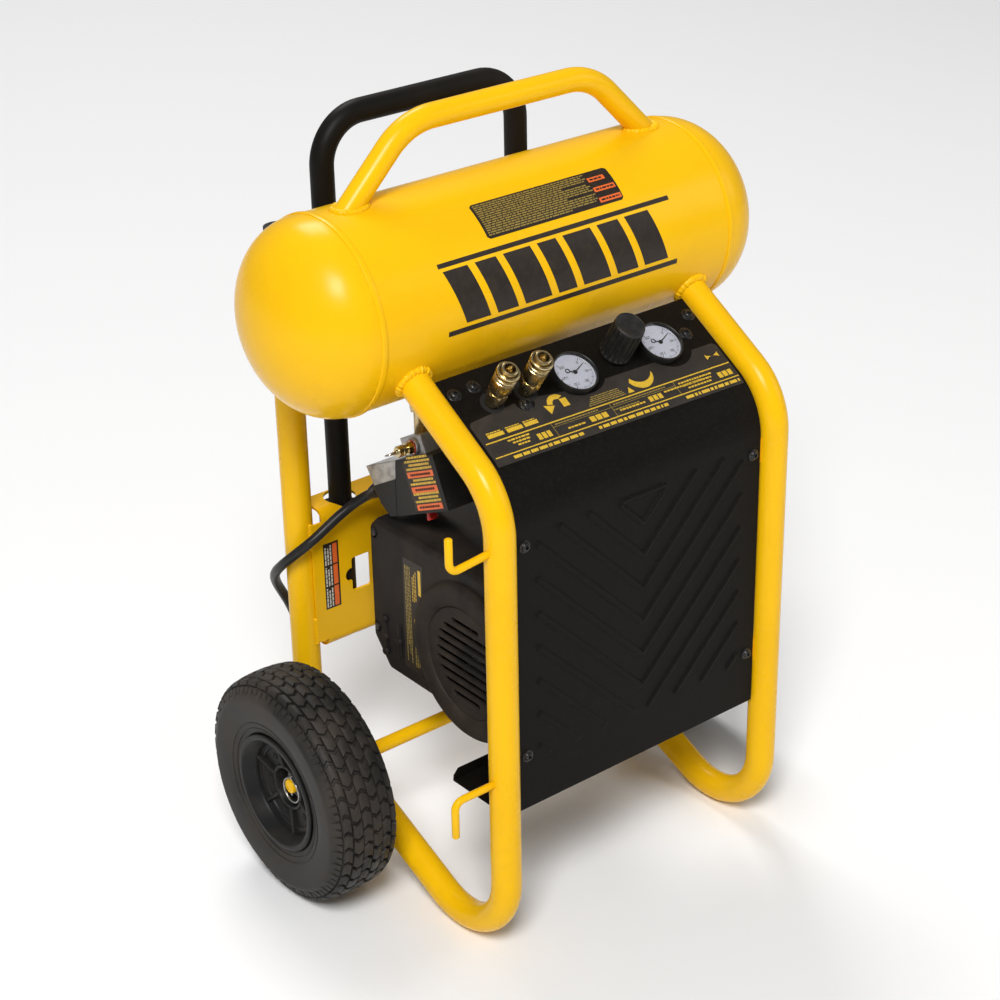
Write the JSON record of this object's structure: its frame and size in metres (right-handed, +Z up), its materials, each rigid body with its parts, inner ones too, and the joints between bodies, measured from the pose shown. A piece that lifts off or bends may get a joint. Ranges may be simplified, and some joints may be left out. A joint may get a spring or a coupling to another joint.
{
  "type": "portable air compressor",
  "caption": "Wheeled air compressor: cylindrical tank across a bent tube frame, ribbed front panel with gauges and couplers, pump behind it, telescoping pull handle.",
  "frame": {"origin": "on the floor, in the middle of the footprint of the side tubes and tyres", "axes": "+Z up, +X towards the right side seen from the control panel, the control panel and front faces look along -Y, the wheels and the pull handle are at +Y"},
  "size_m": [0.614, 0.5339, 0.8508],
  "materials": {
    "frame_paint": "semi-gloss yellow paint",
    "tank_paint": "semi-gloss yellow paint",
    "panel_paint": "satin black powder coat",
    "handle_paint": "satin black paint",
    "black_screw": "black oxide",
    "zinc": "zinc plated",
    "bright_steel": "ground steel",
    "cast_alloy": "as-cast aluminium",
    "windings": "laminated steel with copper windings",
    "brass": "turned brass",
    "shroud_plastic": "moulded plastic, dusty",
    "switch_plastic": "moulded plastic",
    "knob_plastic": "ribbed plastic",
    "red_plastic": "moulded plastic",
    "fan_plastic": "moulded plastic",
    "gauge_black": "black painted case",
    "dial_white": "printed white dial",
    "gauge_lens": "clear lens",
    "needle_black": "black paint",
    "tyre_rubber": "block tread rubber",
    "rim_plastic": "moulded rim",
    "isolator_rubber": "moulded rubber",
    "cord_rubber": "jacketed cord"
  },
  "bodies": {
    "frame": {"side_tube_left": "frame_paint", "side_tube_right": "frame_paint", "tank_shell": "tank_paint", "tank_heads": "tank_paint", "weld_collars": "frame_paint", "carry_handle": "frame_paint", "rear_plate": "frame_paint", "tank_saddles": "frame_paint", "axle_brackets": "frame_paint", "axle": "frame_paint", "axle_pins": "zinc", "cord_hooks": "frame_paint", "front_panel": "panel_paint", "panel_tabs": "frame_paint", "panel_screws": "black_screw", "pump_isolators": "isolator_rubber", "shroud_left": "shroud_plastic", "shroud_right": "shroud_plastic", "fan_grille": "shroud_plastic", "shroud_screws": "zinc", "stator": "windings", "crankcase": "cast_alloy", "bearings": "bright_steel", "cylinder_barrel": "cast_alloy", "cylinder_head": "cast_alloy", "discharge_tube": "cast_alloy", "check_valve": "brass", "manifold": "cast_alloy", "switch_base": "zinc", "switch_cover": "switch_plastic", "safety_valve": "brass", "outlet_manifold": "cast_alloy", "gauge_cases": "gauge_black", "gauge_dials": "dial_white", "gauge_lenses": "gauge_lens", "coupler_bodies": "brass", "drain_valve": "brass", "handle_guides": "switch_plastic", "tube_plugs": "switch_plastic", "strain_relief": "cord_rubber", "power_cord": "cord_rubber", "cord_coil": "cord_rubber", "power_plug": "cord_rubber"},
    "wheel_left": {"tyre_left": "tyre_rubber", "rim_left": "rim_plastic"},
    "wheel_right": {"tyre_right": "tyre_rubber", "rim_right": "rim_plastic"},
    "rotor_assembly": {"rotor": "bright_steel", "cooling_fan": "fan_plastic"},
    "piston": {"piston_rod": "cast_alloy"},
    "pull_handle_body": {"pull_handle": "handle_paint"},
    "switch_lever_body": {"switch_lever": "red_plastic"},
    "regulator_knob_body": {"regulator_knob": "knob_plastic"},
    "relief_stem": {"relief_ring": "bright_steel"},
    "tank_needle": {"needle_left": "needle_black"},
    "outlet_needle": {"needle_right": "needle_black"},
    "sleeve_left_body": {"sleeve_left": "brass"},
    "sleeve_right_body": {"sleeve_right": "brass"},
    "drain_lever_body": {"drain_lever": "zinc"}
  },
  "joints": [
    {"name": "wheel_left_spin", "type": "hinge", "parent": "frame", "child": "wheel_left", "pos_m": [-0.266, 0.06565, 0.129], "axis": [1, 0, 0], "continuous": true},
    {"name": "wheel_right_spin", "type": "hinge", "parent": "frame", "child": "wheel_right", "pos_m": [0.266, 0.06565, 0.129], "axis": [1, 0, 0], "continuous": true},
    {"name": "pull_handle_slide", "type": "slide", "parent": "frame", "child": "pull_handle_body", "axis": [0, 0, 1], "range_m": [0, 0.12]},
    {"name": "motor_spin", "type": "hinge", "parent": "frame", "child": "rotor_assembly", "pos_m": [0, -0.08375, 0.3], "axis": [1, 0, 0], "continuous": true},
    {"name": "piston_slide", "type": "slide", "parent": "frame", "child": "piston", "axis": [0, 1, 0], "range_m": [-0.028, 0]},
    {"name": "switch_lever_turn", "type": "hinge", "parent": "frame", "child": "switch_lever_body", "pos_m": [-0.128, 0.00907, 0.44496], "axis": [0, 0.91, -0.4147], "range_deg": [-20, 20]},
    {"name": "regulator_turn", "type": "hinge", "parent": "frame", "child": "regulator_knob_body", "pos_m": [0.042, -0.09818, 0.60627], "axis": [0, -0.5299, 0.848], "range_deg": [-720, 720]},
    {"name": "relief_pull", "type": "slide", "parent": "frame", "child": "relief_stem", "axis": [-1, 0, 0], "range_m": [0, 0.003], "stiffness_N_per_m": 800},
    {"name": "tank_needle_turn", "type": "hinge", "parent": "frame", "child": "tank_needle", "pos_m": [-0.021, -0.10015, 0.59148], "axis": [0, 0.5299, -0.848], "range_deg": [0, 230]},
    {"name": "outlet_needle_turn", "type": "hinge", "parent": "frame", "child": "outlet_needle", "pos_m": [0.0945, -0.10015, 0.59148], "axis": [0, 0.5299, -0.848], "range_deg": [0, 230]},
    {"name": "sleeve_left_slide", "type": "slide", "parent": "frame", "child": "sleeve_left_body", "axis": [0, 0.5299, -0.848], "range_m": [0, 0.006], "stiffness_N_per_m": 700},
    {"name": "sleeve_right_slide", "type": "slide", "parent": "frame", "child": "sleeve_right_body", "axis": [0, 0.5299, -0.848], "range_m": [0, 0.006], "stiffness_N_per_m": 700},
    {"name": "drain_lever_turn", "type": "hinge", "parent": "frame", "child": "drain_lever_body", "pos_m": [0.11, 0.03595, 0.524], "axis": [0, 0, 1], "range_deg": [0, 90]}
  ]
}
